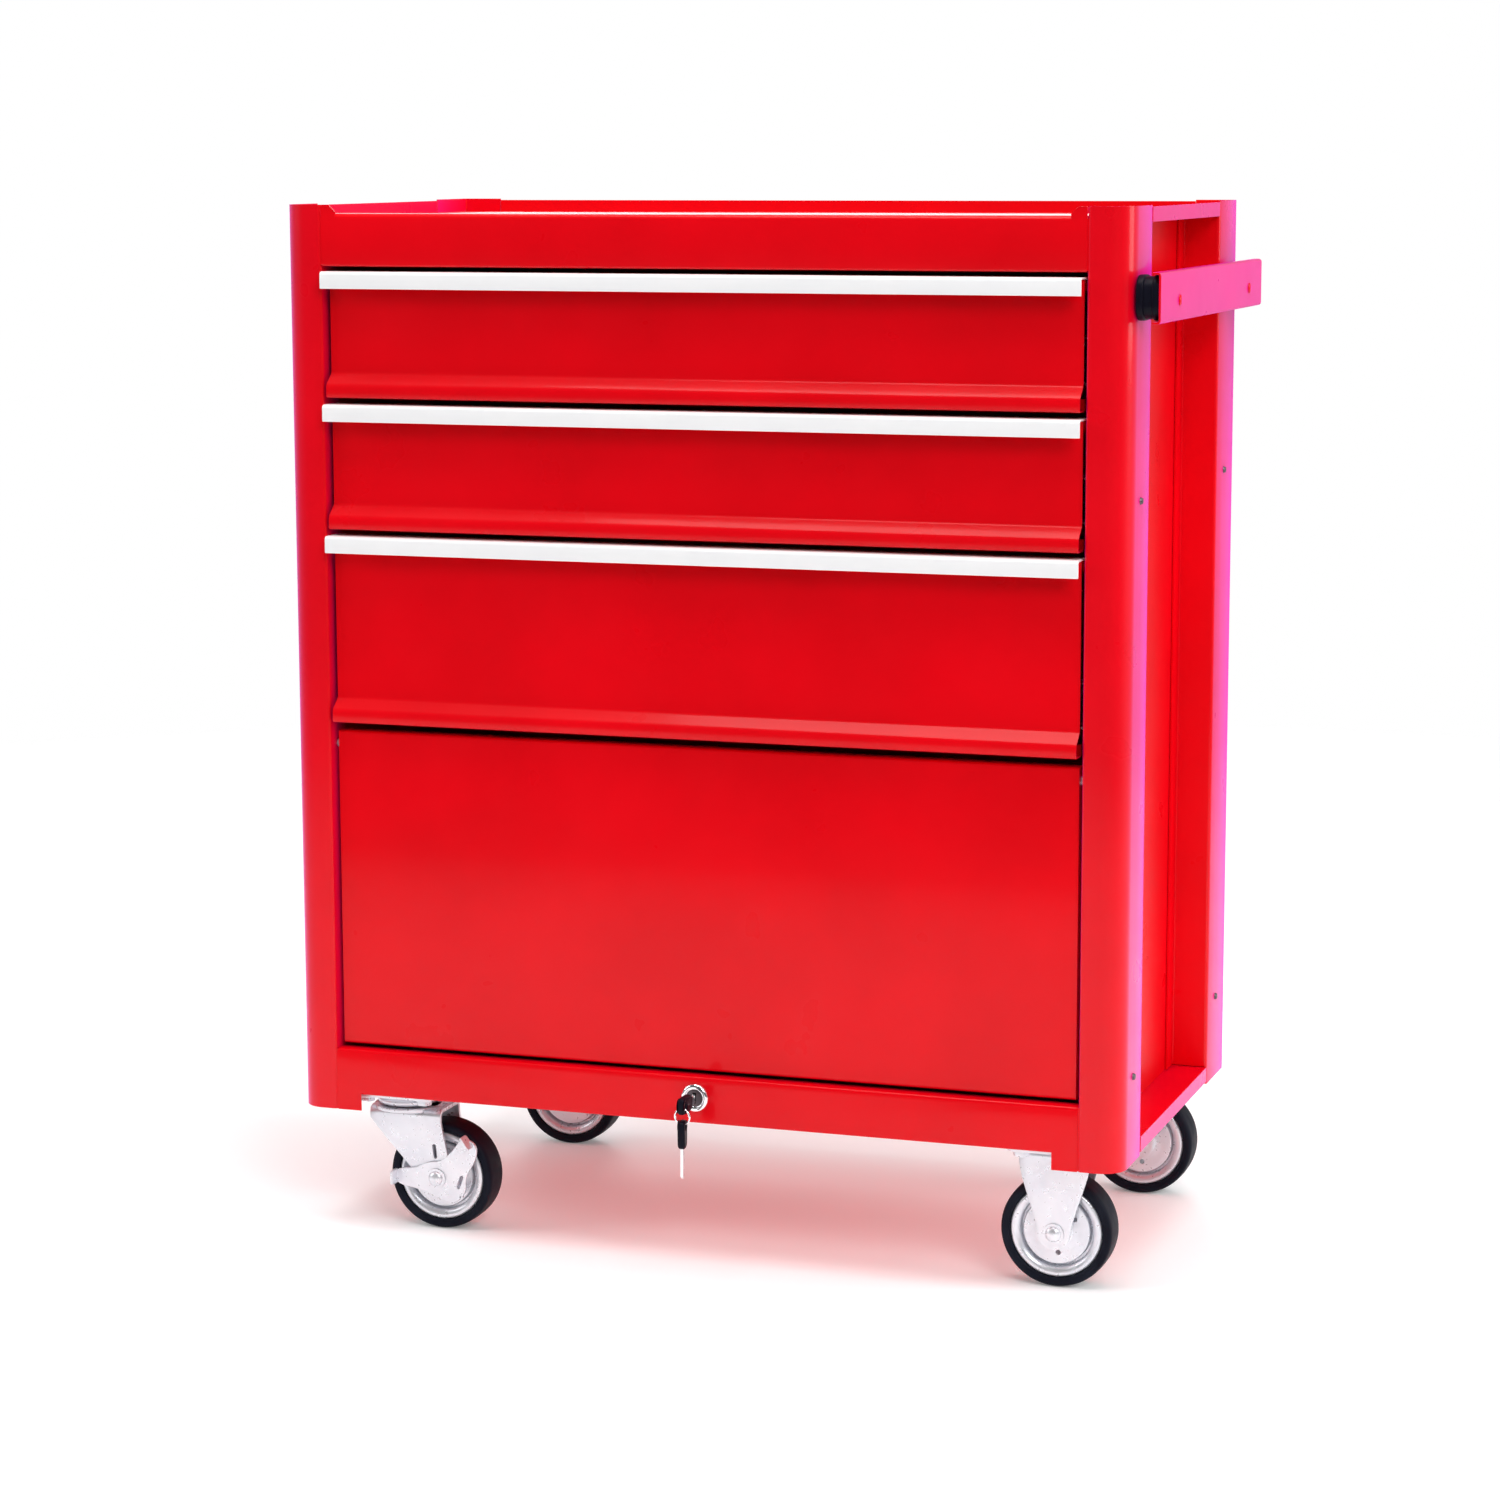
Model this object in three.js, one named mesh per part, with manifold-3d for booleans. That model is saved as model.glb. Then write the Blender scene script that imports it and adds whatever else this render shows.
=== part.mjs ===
// Rolling tool cabinet in folded sheet steel: three drawers over a flip-up door, a lock and its keys in
// the bottom apron, a push handle on the right side, two swivel castors on the left and two rigid ones on
// the right. Millimetres, +Z up, X from left to right, Y from front to back. While it is built, Y = 0 is
// the front face and Z = 0 the floor. At the end the whole group is moved so that its origin is at the
// bottom centre of its box.
import * as THREE from "three";
import { mergeVertices } from "three/addons/utils/BufferGeometryUtils.js";
import Module from "manifold-3d";

const wasm = await Module();
wasm.setup();

// ---------- Driving dimensions ----------
const WIDTH = 616;
const DEPTH = 330;
const BODY_HEIGHT = 654;
const BODY_BOTTOM = 91; // the posts' lower ends, above the floor
const SHEET = 1.2; // posts, top cover and base pan
const THIN = 1; // drawers, door, side and back panels
const FIT = 0.3; // clearance between pieces that touch
const BEND = 1.8; // bend radius at the middle of a sheet

const HALF = WIDTH / 2;
const OPENING = 277.5; // half the width between the two front posts
const CORNER = 18; // outer radius of the front corners
const POST_DEPTH = 58; // a post's side face, front to back
const JAMB_DEPTH = 26;
const POST_TAB = 18; // the part of a post that lies on the side panel
const PANEL_X = OPENING + SHEET + 0.6; // inner face of a side panel
const TAB_X = PANEL_X + THIN + FIT + SHEET / 2;

// Heights over the posts' lower ends
const FLOOR_UP = 12.4;
const APRON_TOP = 45.5;
const DECK_UP = 643.5;
const RIM_UP = 653;
const HOOD_BOTTOM = 611;
const HOOD_TOP = 648;
const INNER_LOW = FLOOR_UP + SHEET / 2 + 0.4; // the posts' inner folds run between these two
const INNER_HIGH = DECK_UP - SHEET / 2 - 0.4;

const DRAWERS = [
  { top: 607.5, height: 89 },
  { top: 514, height: 89 },
  { top: 420.5, height: 134.5 },
];
const DOOR = { top: 279, bottom: 48.5 };
const FACE_Y = 6.7; // front surface of the drawer and door faces
const FACE_HALF = 274.2;

const LOCK_UP = 30.5;
const BARREL_RADIUS = 8;
const SPARE_TURN = 0.17; // the spare key hangs a little turned
const HINGE = { y: 14, up: 269, radius: 3 };

const WHEEL_RADIUS = 40;
const RIGID_X = 256;
const KINGPIN_X = -238;
const CASTOR_Y = 38;
const SWIVEL_OFFSET = 30; // kingpin to axle
const PLATE_TOP = BODY_BOTTOM + FLOOR_UP - SHEET / 2 - FIT;

const SIDES = [
  [-1, "left"],
  [1, "right"],
];

// ---------- Finishes ----------
const finish = (color, roughness, metalness) =>
  new THREE.MeshStandardMaterial({ color, roughness, metalness });
const RED_PAINT = finish(0xd60510, 0.25, 0.1);
const ALUMINIUM = finish(0xe9eaec, 0.3, 0.9);
const ZINC = finish(0xc9ced2, 0.35, 0.9);
const CHROME = finish(0xdfe2e6, 0.12, 1);
const RUBBER = finish(0x14151a, 0.75, 0);
const BLACK_PLASTIC = finish(0x101114, 0.45, 0);

// ---------- Shape tools ----------
const up = (height) => BODY_BOTTOM + height;
const mirrored = (points, side) => points.map(([a, b]) => [a * side, b]);
const polygon = (points) => new THREE.Shape(points.map(([a, b]) => new THREE.Vector2(a, b)));

// Closed outline of a folded sheet whose middle line runs through the points. Each corner gets the same
// bend radius, or its own where bends[i] gives one.
function foldedSheet(points, thickness, bend = BEND, bends = {}, steps = 3) {
  const corners = points.map(([a, b]) => new THREE.Vector2(a, b));
  const runs = corners.slice(1).map((p, i) => p.clone().sub(corners[i]).normalize());
  const leftOf = (run) => new THREE.Vector2(-run.y, run.x);
  const middle = [[corners[0], leftOf(runs[0])]];
  for (let i = 1; i < corners.length - 1; i++) {
    const turn = Math.atan2(runs[i - 1].cross(runs[i]), runs[i - 1].dot(runs[i]));
    const radius = bends[i] ?? bend;
    const start = corners[i].clone().addScaledVector(runs[i - 1], -radius * Math.tan(Math.abs(turn) / 2));
    const normal = leftOf(runs[i - 1]);
    const centre = start.clone().addScaledVector(normal, Math.sign(turn) * radius);
    const count = radius > 5 ? 4 * steps : steps;
    for (let k = 0; k <= count; k++) {
      const turned = normal.clone().rotateAround(new THREE.Vector2(), (turn * k) / count);
      middle.push([centre.clone().addScaledVector(turned, -Math.sign(turn) * radius), turned]);
    }
  }
  middle.push([corners.at(-1), leftOf(runs.at(-1))]);
  const face = (s) => middle.map(([p, n]) => p.clone().addScaledVector(n, (s * thickness) / 2));
  return new THREE.Shape([...face(1), ...face(-1).reverse()]);
}

const extruded = (shape, depth, curveSegments) =>
  new THREE.ExtrudeGeometry(shape, { depth, bevelEnabled: false, curveSegments });
const X = new THREE.Vector3(1, 0, 0);
const Y = new THREE.Vector3(0, 1, 0);
const Z = new THREE.Vector3(0, 0, 1);
const TURN_TO_X = new THREE.Matrix4().makeBasis(Y, Z, X); // a (y, z) outline, extruded along +X
// Turns an (x, z) outline so that it is extruded along -Y.
const TURN_TO_Y = new THREE.Matrix4().makeBasis(X, Z, Y.clone().negate());

const alongX = (shape, x0, x1, curves = 6) =>
  extruded(shape, x1 - x0, curves).applyMatrix4(TURN_TO_X).translate(x0, 0, 0);
const alongY = (shape, y0, y1, curves = 6) =>
  extruded(shape, y1 - y0, curves).applyMatrix4(TURN_TO_Y).translate(0, y1, 0);
const alongZ = (shape, z0, z1, curves = 6) => extruded(shape, z1 - z0, curves).translate(0, 0, z0);
const block = (x0, x1, y0, y1, z0, z1) =>
  new THREE.BoxGeometry(x1 - x0, y1 - y0, z1 - z0).translate((x0 + x1) / 2, (y0 + y1) / 2, (z0 + z1) / 2);
const rod = (radius, y0, y1, x = 0, z = 0, sides = 20) =>
  new THREE.CylinderGeometry(radius, radius, y1 - y0, sides).translate(x, (y0 + y1) / 2, z);
const rodAlongX = (radius, x0, x1, y, z, sides = 16) =>
  new THREE.CylinderGeometry(radius, radius, x1 - x0, sides)
    .rotateZ(Math.PI / 2)
    .translate((x0 + x1) / 2, y, z);
const rodAlongZ = (radius, z0, z1, x, y, sides = 20) =>
  new THREE.CylinderGeometry(radius, radius, z1 - z0, sides)
    .rotateX(Math.PI / 2)
    .translate(x, y, (z0 + z1) / 2);

// A ring or disc turned about the Y axis from an outline of (radius, y) points.
function turned(points, segments = 28) {
  const outline = points.map(([r, y]) => new THREE.Vector2(r, y));
  if (THREE.ShapeUtils.area(outline) < 0) outline.reverse();
  outline.push(outline[0].clone());
  return new THREE.LatheGeometry(outline, segments);
}

function solid(geometry) {
  const bare = geometry.clone();
  bare.deleteAttribute("normal");
  bare.deleteAttribute("uv");
  const merged = mergeVertices(bare, 1e-4);
  return new wasm.Manifold(
    new wasm.Mesh({
      numProp: 3,
      vertProperties: new Float32Array(merged.attributes.position.array),
      triVerts: new Uint32Array(merged.index.array),
    }),
  );
}
const joined = (...geometries) => geometries.map(solid).reduce((whole, next) => whole.add(next));
const cut = (whole, ...geometries) =>
  geometries.map(solid).reduce((left, tool) => left.subtract(tool), whole);

function geometryOf(body) {
  const mesh = body.getMesh();
  const geometry = new THREE.BufferGeometry();
  geometry.setAttribute("position", new THREE.BufferAttribute(new Float32Array(mesh.vertProperties), 3));
  geometry.setIndex(new THREE.BufferAttribute(new Uint32Array(mesh.triVerts), 1));
  const flat = geometry.toNonIndexed();
  flat.computeVertexNormals();
  return flat;
}

const root = new THREE.Group();

function add(name, shape, material, parent = root) {
  const mesh = new THREE.Mesh(shape.isBufferGeometry ? shape : geometryOf(shape), material);
  mesh.name = name;
  parent.add(mesh);
  return mesh;
}

// ---------- Screw and rivet heads on the side faces ----------
const SCREW = { radius: 2.8, inset: 32, low: 62, high: 458 };
const RIVET = { radius: 3.8, front: 63, rear: 291, height: 591 };
const HEAD_HEIGHT = 1.6;

// A tapered head on a face at x, turned outwards on its own side of the cabinet. It starts at a depth from
// the face, so that it joins the sheet or clears it.
const headOnFace = (radius, x, side, depth, y, z) =>
  new THREE.CylinderGeometry(0.7 * radius, radius, HEAD_HEIGHT - depth, 16)
    .rotateZ((-side * Math.PI) / 2)
    .translate(x + (side * (HEAD_HEIGHT + depth)) / 2, y, z);

const withScrews = (post, side, y) => {
  const heads = [SCREW.low, SCREW.high].map((height) =>
    headOnFace(SCREW.radius, side * HALF, side, -SHEET / 2, y, up(height)),
  );
  return post.add(joined(...heads));
};

// ---------- Cabinet ----------
// The space inside a front post's outer wall. Its inner folds are cut away here above the deck and below
// the floor.
function frontHollow(side) {
  const wall = SHEET + 0.1;
  const shape = [[OPENING - 8, wall]];
  const radius = CORNER - wall;
  const steps = 8;
  for (let k = 0; k <= steps; k++) {
    const angle = (Math.PI / 2) * (k / steps);
    shape.push([HALF - CORNER + radius * Math.sin(angle), CORNER - radius * Math.cos(angle)]);
  }
  shape.push([HALF - wall, POST_DEPTH + POST_TAB + 4], [OPENING - 8, POST_DEPTH + POST_TAB + 4]);
  return polygon(mirrored(shape, side));
}

function rearHollow(side) {
  const wall = SHEET + 0.1;
  const front = DEPTH - POST_DEPTH - POST_TAB - 4;
  const outline = [
    [OPENING - 8, front],
    [HALF - wall, front],
    [HALF - wall, DEPTH - wall - 2],
    [HALF - wall - 2, DEPTH - wall],
    [OPENING - 8, DEPTH - wall],
  ];
  return polygon(mirrored(outline, side));
}

function trimmedPost(outline, hollow) {
  const post = solid(alongZ(outline, up(0), up(BODY_HEIGHT)));
  const below = alongZ(hollow, up(-1), up(INNER_LOW));
  const above = alongZ(hollow, up(INNER_HIGH), up(BODY_HEIGHT + 1));
  return cut(post, below, above);
}

function frontPost(side) {
  const outline = foldedSheet(
    mirrored(
      [
        [OPENING + SHEET / 2, JAMB_DEPTH],
        [OPENING + SHEET / 2, SHEET / 2],
        [HALF - SHEET / 2, SHEET / 2],
        [HALF - SHEET / 2, POST_DEPTH - SHEET / 2],
        [TAB_X, POST_DEPTH - SHEET / 2],
        [TAB_X, POST_DEPTH + POST_TAB],
      ],
      side,
    ),
    SHEET,
    BEND,
    { 2: CORNER - SHEET / 2 },
  );
  const hole = rodAlongX(HINGE.radius + FIT, -8, 8, HINGE.y, up(HINGE.up));
  const pinHole = hole.translate(side * OPENING, 0, 0);
  const post = cut(trimmedPost(outline, frontHollow(side)), pinHole);
  return withScrews(post, side, SCREW.inset);
}

function rearPost(side) {
  const front = DEPTH - POST_DEPTH;
  const outline = foldedSheet(
    mirrored(
      [
        [TAB_X, front - POST_TAB],
        [TAB_X, front + SHEET / 2],
        [HALF - SHEET / 2, front + SHEET / 2],
        [HALF - SHEET / 2, DEPTH - SHEET / 2],
        [OPENING, DEPTH - SHEET / 2],
      ],
      side,
    ),
    SHEET,
  );
  return withScrews(trimmedPost(outline, rearHollow(side)), side, DEPTH - SCREW.inset);
}

function sidePanel(side) {
  const outer = PANEL_X + THIN;
  const [x0, x1] = side > 0 ? [PANEL_X, outer] : [-outer, -PANEL_X];
  return block(x0, x1, JAMB_DEPTH - 4, DEPTH - 22, up(INNER_LOW), up(INNER_HIGH));
}

const BACK_Y = DEPTH - SHEET - FIT - THIN - 0.1;
const backPanel = () => block(-298, 298, BACK_Y, BACK_Y + THIN, up(INNER_LOW), up(INNER_HIGH));

// Outline of the floor and of the deck: inside the posts' outer walls, and out to the side faces between
// the posts.
function plateOutline() {
  const inset = SHEET + FIT;
  const radius = CORNER - inset;
  const half = [];
  const steps = 8;
  for (let k = 0; k <= steps; k++) {
    const angle = (Math.PI / 2) * (k / steps);
    half.push([HALF - CORNER + radius * Math.sin(angle), CORNER - radius * Math.cos(angle)]);
  }
  half.push(
    [HALF - inset, POST_DEPTH + FIT],
    [HALF, POST_DEPTH + FIT],
    [HALF, DEPTH - POST_DEPTH - FIT],
    [HALF - inset, DEPTH - POST_DEPTH - FIT],
    [HALF - inset, DEPTH - inset - 2],
    [HALF - inset - 2, DEPTH - inset],
  );
  return polygon([...half, ...mirrored(half, -1).reverse()]);
}

// Flanges along the two side faces, between the posts.
const sideFlanges = (low, high) =>
  [1, -1].map((side) =>
    block(-SHEET / 2, SHEET / 2, POST_DEPTH + FIT, DEPTH - POST_DEPTH - FIT, up(low), up(high)).translate(
      side * (HALF - SHEET / 2),
      0,
      0,
    ),
  );

const APRON_HALF = OPENING - FIT;
const FOOT_HALF = 259; // the apron steps down to the posts' height outside this

function basePan() {
  const fold = foldedSheet(
    [
      [13, up(APRON_TOP - 4.5)],
      [13, up(APRON_TOP - SHEET / 2)],
      [SHEET / 2, up(APRON_TOP - SHEET / 2)],
      [SHEET / 2, up(FLOOR_UP)],
      [DEPTH - SHEET / 2, up(FLOOR_UP)],
      [DEPTH - SHEET / 2, up(2)],
    ],
    SHEET,
  );
  const feet = [1, -1].map((side) =>
    block(FOOT_HALF - APRON_HALF, 0, 0.05, SHEET - 0.05, up(0), up(FLOOR_UP + 4)).translate(
      side > 0 ? APRON_HALF : -FOOT_HALF,
      0,
      0,
    ),
  );
  const pan = joined(
    alongX(fold, -APRON_HALF, APRON_HALF),
    alongZ(plateOutline(), up(FLOOR_UP - 0.5), up(FLOOR_UP + 0.5)),
    ...sideFlanges(2, FLOOR_UP),
    ...feet,
  );
  return cut(pan, rod(BARREL_RADIUS + FIT, -5, 8, 0, up(LOCK_UP), 24));
}

// The raised front corners of the cover, level with the posts.
function coverEar(side) {
  const outline = polygon([
    [0, up(HOOD_TOP - 14)],
    [0, up(BODY_HEIGHT)],
    [-6, up(BODY_HEIGHT)],
    [-11, up(BODY_HEIGHT - 5)],
    [-11, up(HOOD_TOP - 14)],
  ]);
  const ear = alongY(outline, 0.05, SHEET - 0.05).translate(APRON_HALF, 0, 0);
  if (side > 0) return ear;
  return ear.rotateZ(Math.PI).translate(0, SHEET, 0);
}

function topCover() {
  const fold = foldedSheet(
    [
      [14, up(HOOD_BOTTOM + SHEET / 2)],
      [SHEET / 2, up(HOOD_BOTTOM + SHEET / 2)],
      [SHEET / 2, up(HOOD_TOP - SHEET / 2)],
      [10, up(HOOD_TOP - SHEET / 2)],
      [10, up(DECK_UP)],
      [DEPTH - SHEET / 2, up(DECK_UP)],
      [DEPTH - SHEET / 2, up(RIM_UP)],
    ],
    SHEET,
    1,
    { 2: 3 },
  );
  return joined(
    alongX(fold, -APRON_HALF, APRON_HALF),
    alongZ(plateOutline(), up(DECK_UP - 0.5), up(DECK_UP + 0.5)),
    ...sideFlanges(DECK_UP, RIM_UP),
    coverEar(1),
    coverEar(-1),
  );
}

function buildCabinet() {
  for (const [side, word] of SIDES) {
    add(`front_post_${word}`, frontPost(side), RED_PAINT);
    add(`rear_post_${word}`, rearPost(side), RED_PAINT);
    add(`side_panel_${word}`, sidePanel(side), RED_PAINT);
  }
  add("back_panel", backPanel(), RED_PAINT);
  add("base_pan", basePan(), RED_PAINT);
  add("top_cover", topCover(), RED_PAINT);
}

// ---------- Push handle on the right side ----------
const HANDLE = { low: 577, high: 611, front: 6, back: 336, outer: HALF + 18 };

function buildHandle() {
  const bar = foldedSheet(
    [
      [HANDLE.outer - 6, up(HANDLE.low + 0.75)],
      [HANDLE.outer - 0.75, up(HANDLE.low + 0.75)],
      [HANDLE.outer - 0.75, up(HANDLE.high - 0.75)],
      [HANDLE.outer - 6, up(HANDLE.high - 0.75)],
    ],
    1.5,
    1.5,
  );
  add("handle_bar", alongY(bar, HANDLE.front, HANDLE.back), RED_PAINT);
  for (const word of ["front", "rear"]) {
    const head = headOnFace(RIVET.radius, HANDLE.outer, 1, FIT, RIVET[word], up(RIVET.height));
    add(`handle_rivet_${word}`, head, RED_PAINT);
  }
  for (const [word, y0, y1] of [
    ["front", HANDLE.front + 2, HANDLE.front + 30],
    ["rear", DEPTH - 32, DEPTH - 4],
  ]) {
    const spacer = new THREE.Shape();
    const [low, high, r] = [up(HANDLE.low + 1.8), up(HANDLE.high - 1.8), 9];
    spacer.moveTo(y0 + r, low).lineTo(y1 - r, low).absarc(y1 - r, low + r, r, -Math.PI / 2, 0);
    spacer.lineTo(y1, high - r).absarc(y1 - r, high - r, r, 0, Math.PI / 2);
    spacer.lineTo(y0 + r, high).absarc(y0 + r, high - r, r, Math.PI / 2, Math.PI);
    spacer.lineTo(y0, low + r).absarc(y0 + r, low + r, r, Math.PI, 1.5 * Math.PI);
    add(`handle_spacer_${word}`, alongX(spacer, HALF + FIT, HANDLE.outer - 1.5 - FIT, 5), BLACK_PLASTIC);
  }
}

// ---------- Drawers ----------
const RAIL = { outer: PANEL_X - FIT, inner: 265.3, high: 17.5, front: 28, back: 318 };
const PAN_HALF = 265;
const BIN_BACK = 318;
const FRONT_TUCK = 12; // depth of the fold under a drawer face

const railShape = (web, lips, half, thickness) =>
  foldedSheet(
    [
      [lips, -half + thickness / 2],
      [web, -half + thickness / 2],
      [web, half - thickness / 2],
      [lips, half - thickness / 2],
    ],
    thickness,
    1,
    {},
    2,
  );

function drawerBody({ top, height }) {
  const bottom = top - height;
  const face = FACE_Y + THIN / 2;
  const front = foldedSheet(
    [
      [15, up(top - 9)],
      [15, up(top - 2.2)],
      [face, up(top - 2.2)],
      [face, up(bottom + 17)],
      [face - 9.5, up(bottom + 9)],
      [face - 9.5, up(bottom + 0.5)],
      [FRONT_TUCK, up(bottom + 0.5)],
      [FRONT_TUCK, up(bottom + 8)],
    ],
    THIN,
    1.2,
    { 3: 4, 4: 4 },
    2,
  );
  const wall = polygon([
    [face, up(bottom + 20)],
    [FRONT_TUCK, up(bottom + 7.5)],
    [BIN_BACK, up(bottom + 7.5)],
    [BIN_BACK, up(top - 26)],
    [face, up(top - 26)],
  ]);
  return joined(
    alongX(front, -FACE_HALF, FACE_HALF),
    block(-PAN_HALF, PAN_HALF, FRONT_TUCK, BIN_BACK, up(bottom + 7), up(bottom + 8)),
    alongX(wall, PAN_HALF - THIN, PAN_HALF),
    alongX(wall, -PAN_HALF, THIN - PAN_HALF),
    block(-PAN_HALF, PAN_HALF, BIN_BACK - THIN, BIN_BACK, up(bottom + 7), up(top - 26)),
  );
}

function drawerTrim({ top }) {
  const outline = foldedSheet(
    [
      [-7.2, up(top - 12)],
      [-7.2, up(top - 0.6)],
      [19, up(top - 0.6)],
      [19, up(top - 7)],
    ],
    SHEET,
    BEND,
  );
  return alongX(outline, -275.5, 275.5);
}

function buildDrawer(drawer, index) {
  const name = `drawer_${index + 1}`;
  add(`${name}_body`, drawerBody(drawer), RED_PAINT);
  add(`${name}_trim`, drawerTrim(drawer), ALUMINIUM);
  const centre = up(drawer.top - drawer.height + 33);
  for (const [side, word] of SIDES) {
    const [x0, x1] = [RAIL.inner + 0.6, RAIL.outer - 0.6].map((x) => x * side);
    const fixed = railShape(x1, x0 + side * 4, RAIL.high, SHEET);
    const sliding = railShape(x0, x1 - side * 3, RAIL.high - SHEET - 0.6, SHEET);
    const place = (shape, y0, y1) => alongY(shape, y0, y1, 2).translate(0, 0, centre);
    add(`${name}_rail_${word}`, place(fixed, RAIL.front, RAIL.back), ZINC);
    add(`${name}_slide_${word}`, place(sliding, 22, 316), ZINC);
  }
}

// ---------- Door ----------
const PIN = { inner: 270, outer: PANEL_X - FIT };

function doorPanel() {
  const face = FACE_Y + THIN / 2;
  const outline = foldedSheet(
    [
      [20, up(DOOR.top - 8)],
      [20, up(DOOR.top - THIN / 2)],
      [face, up(DOOR.top - THIN / 2)],
      [face, up(DOOR.bottom + THIN / 2)],
      [24, up(DOOR.bottom + THIN / 2)],
      [24, up(DOOR.bottom + 9)],
    ],
    THIN,
    1.4,
  );
  const cheek = (x) => block(x, x + THIN, face, 20, up(DOOR.bottom + 0.5), up(DOOR.top - 0.5));
  const hole = HINGE.radius + FIT;
  return cut(
    joined(alongX(outline, -FACE_HALF, FACE_HALF), cheek(-FACE_HALF), cheek(FACE_HALF - THIN)),
    rodAlongX(hole, FACE_HALF - 5, FACE_HALF + 5, HINGE.y, up(HINGE.up)),
    rodAlongX(hole, -FACE_HALF - 5, -FACE_HALF + 5, HINGE.y, up(HINGE.up)),
    block(-26, 9, 15.8, 21, up(DOOR.bottom - 3), up(DOOR.bottom + 3)),
  );
}

function hingePin(side) {
  const shaft = rodAlongX(HINGE.radius, PIN.inner, PIN.outer, HINGE.y, up(HINGE.up));
  const head = rodAlongX(HINGE.radius + 1.6, PIN.inner - 1.5, PIN.inner + 1, HINGE.y, up(HINGE.up));
  const pin = joined(shaft, head);
  return side > 0 ? pin : pin.mirror([1, 0, 0]);
}

function buildDoor() {
  add("door_panel", doorPanel(), RED_PAINT);
  add("door_pin_left", hingePin(-1), ZINC);
  add("door_pin_right", hingePin(1), ZINC);
}

// ---------- Lock and keys ----------
const KEY = { front: -31, neck: -10.5, ringY: -27, half: 6.3, thickness: 2 };
const RING = { radius: 5.4, wire: 0.8 };
const RING_TOP = up(LOCK_UP) - 2.1; // middle of the wire in the key's hole
const SPARE_HOLE = RING_TOP - 2 * RING.radius - 1.1; // middle of the spare key's hole

function lockHousing() {
  return turned([
    [6.1, -3],
    [9.2, -3],
    [10.2, -1.6],
    [10.2, -FIT],
    [BARREL_RADIUS, -FIT],
    [BARREL_RADIUS, 15],
    [6.1, 15],
  ]).translate(0, 0, up(LOCK_UP));
}

function lockPlug() {
  const slot = block(-1.3, 1.3, -6, 13, -3.9, 3.9);
  const plug = cut(joined(rod(5.8, -2.4, 16.5), rod(2.6, 16, 21)), slot);
  const lever = new THREE.Shape();
  lever.moveTo(0, 5.5).lineTo(-21, 4).absarc(-21, 0, 4, Math.PI / 2, 1.5 * Math.PI).lineTo(0, -5.5);
  lever.absarc(0, 0, 5.5, -Math.PI / 2, Math.PI / 2);
  const cam = joined(alongY(lever, 17.2, 19.2, 8), rod(4.4, 16.3, 17.4));
  return plug.add(cam).translate([0, 0, up(LOCK_UP)]);
}

// A flat key in the plane x = 0: its blade points along +Y, its plastic head is rounded, with a hole for
// the ring.
function keyOutline(blade) {
  const key = new THREE.Shape();
  const { front, neck, half } = KEY;
  key.moveTo(front + 4, -half).lineTo(neck - 5, -half).quadraticCurveTo(neck, -half, neck, -3.2);
  key.lineTo(blade, -3.2).lineTo(blade + 3, 0).lineTo(blade, 3.2).lineTo(neck, 3.2);
  key.quadraticCurveTo(neck, half, neck - 5, half).lineTo(front + 4, half);
  key.quadraticCurveTo(front, half, front, 0).quadraticCurveTo(front, -half, front + 4, -half);
  const hole = new THREE.Path();
  hole.absellipse(KEY.ringY, 0, 2.4, 3.4, 0, 2 * Math.PI, true);
  key.holes.push(hole);
  return key;
}

const keyBlank = (blade) => alongX(keyOutline(blade), -KEY.thickness / 2, KEY.thickness / 2, 6);

function buildLock() {
  add("lock_housing", lockHousing(), CHROME);
  add("lock_plug", lockPlug(), ZINC);
  add("key", keyBlank(9).translate(0, 0, up(LOCK_UP)), BLACK_PLASTIC);

  // The ring hangs through the key's hole, and the spare key hangs in the bottom of the ring, blade down.
  const ring = new THREE.TorusGeometry(RING.radius, RING.wire, 8, 28).rotateX(Math.PI / 2);
  add("key_ring", ring.translate(0, KEY.ringY, RING_TOP - RING.radius), CHROME);
  const spare = keyBlank(8).translate(0, -KEY.ringY, 0).rotateX(-Math.PI / 2).rotateZ(SPARE_TURN);
  add("spare_key", spare.translate(0, KEY.ringY, SPARE_HOLE), BLACK_PLASTIC);
}

// ---------- Castors ----------
const LEG = { inner: 15.6, outer: 18.1 };
const AXLE_RADIUS = 5;
const CROWN = { top: PLATE_TOP - 12, thickness: 2.8, radius: 25 };

function tyre() {
  const half = [
    [33, 11.2],
    [35, 12.4],
    [38, 12.2],
    [39.4, 10],
    [WHEEL_RADIUS, 6],
  ];
  return turned([...half.map(([r, y]) => [r, -y]), ...half.reverse()], 40);
}

function wheelDisc() {
  const half = [
    [AXLE_RADIUS + FIT, 12.6],
    [9.5, 12.6],
    [11, 10],
    [22.5, 9.2],
    [24.5, 6.4],
    [26.6, 6.4],
    [28, 10.8],
    [32.6, 11.2],
  ];
  return turned([...half.map(([r, y]) => [r, -y]), ...half.reverse()], 32);
}

function axle(frontHead) {
  const [neck, reach] = [LEG.outer + FIT, LEG.outer + FIT + 3.6];
  return joined(
    rod(AXLE_RADIUS, -frontHead - 1, neck + 1),
    rod(7.6, -frontHead - 3.6, -frontHead, 0, 0, 6),
    rod(7.6, neck, reach, 0, 0, 6),
  );
}

// One leg of a fork: wide under the crown and rounded round the axle, seen along Y.
function legOutline(left, right, top, axleX, radius) {
  const leg = new THREE.Shape();
  leg.moveTo(left, top).lineTo(left, top - 10);
  leg.absarc(axleX, 0, radius, Math.PI + 0.25, 2 * Math.PI - 0.25);
  leg.lineTo(right, top - 10).lineTo(right, top);
  return leg;
}

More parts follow.
